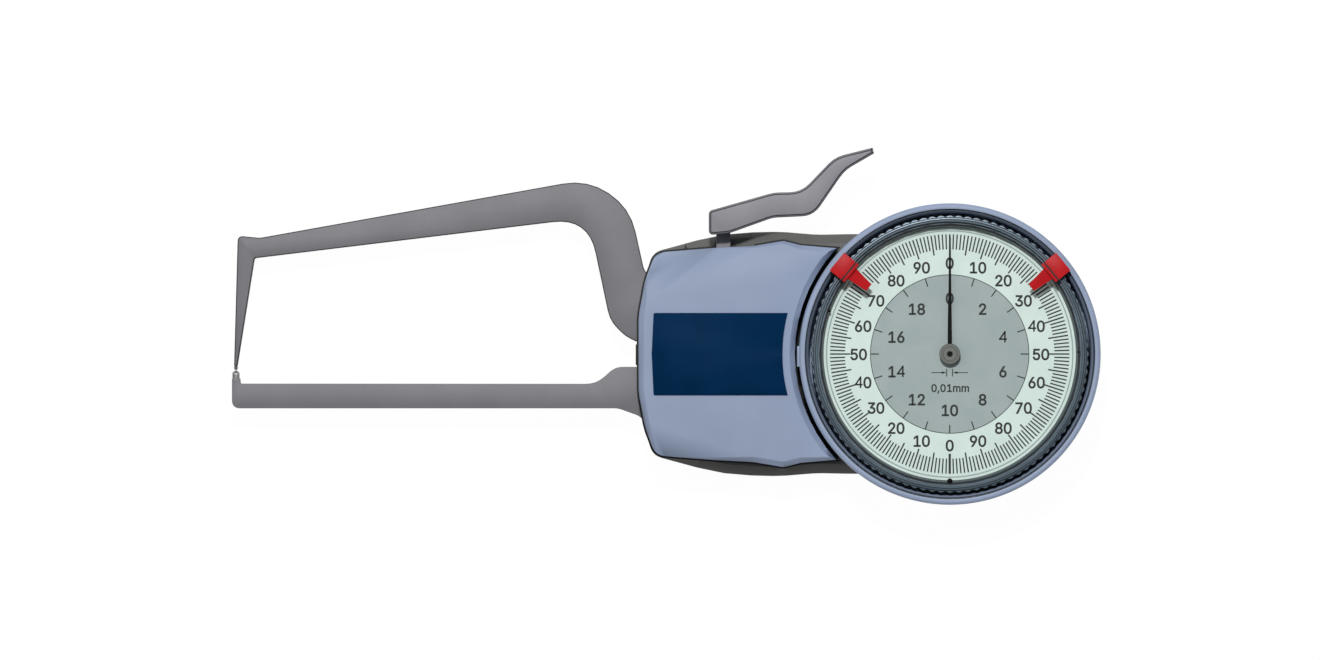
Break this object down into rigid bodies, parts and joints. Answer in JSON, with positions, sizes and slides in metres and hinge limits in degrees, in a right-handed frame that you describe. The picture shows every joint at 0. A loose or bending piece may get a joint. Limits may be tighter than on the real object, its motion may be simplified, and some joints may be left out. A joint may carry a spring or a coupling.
{
  "type": "wall thickness gauge",
  "caption": "Dial thickness gauge with long bent measuring arms, lifting lever, turning bezel, tolerance markers and a geared coaxial millimetre hand.",
  "frame": {"origin": "where the dial axis meets the flat rear face that the gauge lies on", "axes": "+X from the measuring arms towards the dial, +Y up on the dial towards its zero, +Z along the dial axis out of the dial"},
  "size_m": [0.1842, 0.0756, 0.0289],
  "materials": {
    "painted_cover": "satin blue-grey paint",
    "dark_shell": "matt dark grey moulding",
    "rubber": "black rubber",
    "arm_metal": "fine satin grey",
    "polished_steel": "polished steel",
    "brass": "plain brass",
    "black_metal": "black anodised metal",
    "dial_paint": "pale matt dial",
    "clear_plastic": "clear dial cover",
    "red_plastic": "red moulding",
    "label_film": "dark blue film"
  },
  "bodies": {
    "housing": {"rear_cover": "dark_shell", "front_cover": "painted_cover", "cover_gasket": "rubber", "label_plate": "label_film", "dial_guard_ring": "painted_cover", "base_plate": "brass", "bridge_plate": "brass", "pillar_1": "polished_steel", "pillar_2": "polished_steel", "pillar_3": "polished_steel", "pillar_4": "polished_steel", "bridge_screw_1": "polished_steel", "bridge_screw_2": "polished_steel", "bridge_screw_3": "polished_steel", "bridge_screw_4": "polished_steel", "rear_screw_1": "polished_steel", "rear_screw_2": "polished_steel", "rear_screw_3": "polished_steel", "rear_screw_4": "polished_steel", "pivot_shaft": "polished_steel", "fixed_arm": "arm_metal", "fixed_contact_pin": "polished_steel", "fixed_arm_screw_1": "polished_steel", "fixed_arm_screw_2": "polished_steel", "spring_anchor_post": "polished_steel", "arm_slot_seal": "rubber", "hairspring_stud": "polished_steel", "measuring_spring": "polished_steel", "hairspring": "polished_steel"},
    "moving_arm": {"pivot_carrier": "arm_metal", "pivot_bush": "brass", "movable_arm": "arm_metal", "movable_contact_tip": "polished_steel", "movable_arm_screw_1": "polished_steel", "movable_arm_screw_2": "polished_steel", "toothed_segment": "brass", "segment_screw_1": "polished_steel", "segment_screw_2": "polished_steel", "spring_hook_pin": "polished_steel", "lever_post": "arm_metal", "lifting_lever": "arm_metal", "lever_screw": "polished_steel"},
    "mm_hand": {"mm_arbor": "polished_steel", "mm_wheel": "brass", "mm_hand": "black_metal"},
    "lay_shaft": {"lay_arbor": "polished_steel", "lay_wheel": "brass"},
    "main_hand": {"main_arbor": "polished_steel", "main_hand": "black_metal", "hand_hub": "polished_steel"},
    "bezel": {"bezel_ring": "black_metal", "crystal": "clear_plastic", "crystal_gasket": "rubber", "dial_plate": "dial_paint", "dial_clamp_ring": "polished_steel"},
    "marker_left": {"marker_left": "red_plastic"},
    "marker_right": {"marker_right": "red_plastic"}
  },
  "joints": [
    {"name": "arm_pivot", "type": "hinge", "parent": "housing", "child": "moving_arm", "pos_m": [-0.045, 0, 0.0068], "axis": [0, 0, -1], "range_deg": [0, 10.9], "stiffness_Nm_per_rad": 0.23, "springref_deg": -26.36, "deforming": ["measuring_spring"]},
    {"name": "mm_hand_spin", "type": "hinge", "parent": "housing", "child": "mm_hand", "pos_m": [0, 0, 0.0108], "axis": [0, 0, -1], "range_deg": [0, 366], "deforming": ["hairspring"]},
    {"name": "lay_spin", "type": "hinge", "parent": "housing", "child": "lay_shaft", "pos_m": [0.0084, 0, 0.0068], "axis": [0, 0, -1], "range_deg": [-916, 0]},
    {"name": "main_hand_spin", "type": "hinge", "parent": "housing", "child": "main_hand", "pos_m": [0, 0, 0.0028], "axis": [0, 0, -1], "range_deg": [0, 3660]},
    {"name": "bezel_turn", "type": "hinge", "parent": "housing", "child": "bezel", "pos_m": [0, 0, 0.0168], "axis": [0, 0, 1], "continuous": true},
    {"name": "marker_left_slide", "type": "hinge", "parent": "bezel", "child": "marker_left", "pos_m": [0, 0, 0.0273], "axis": [0, 0, 1], "range_deg": [-42, 119]},
    {"name": "marker_right_slide", "type": "hinge", "parent": "bezel", "child": "marker_right", "pos_m": [0, 0, 0.0273], "axis": [0, 0, 1], "range_deg": [-119, 42]}
  ],
  "couplings": [
    {"joint": "mm_hand_spin", "follows": "arm_pivot", "ratio": 33.429},
    {"joint": "lay_spin", "follows": "arm_pivot", "ratio": -83.571},
    {"joint": "main_hand_spin", "follows": "arm_pivot", "ratio": 334.29}
  ]
}
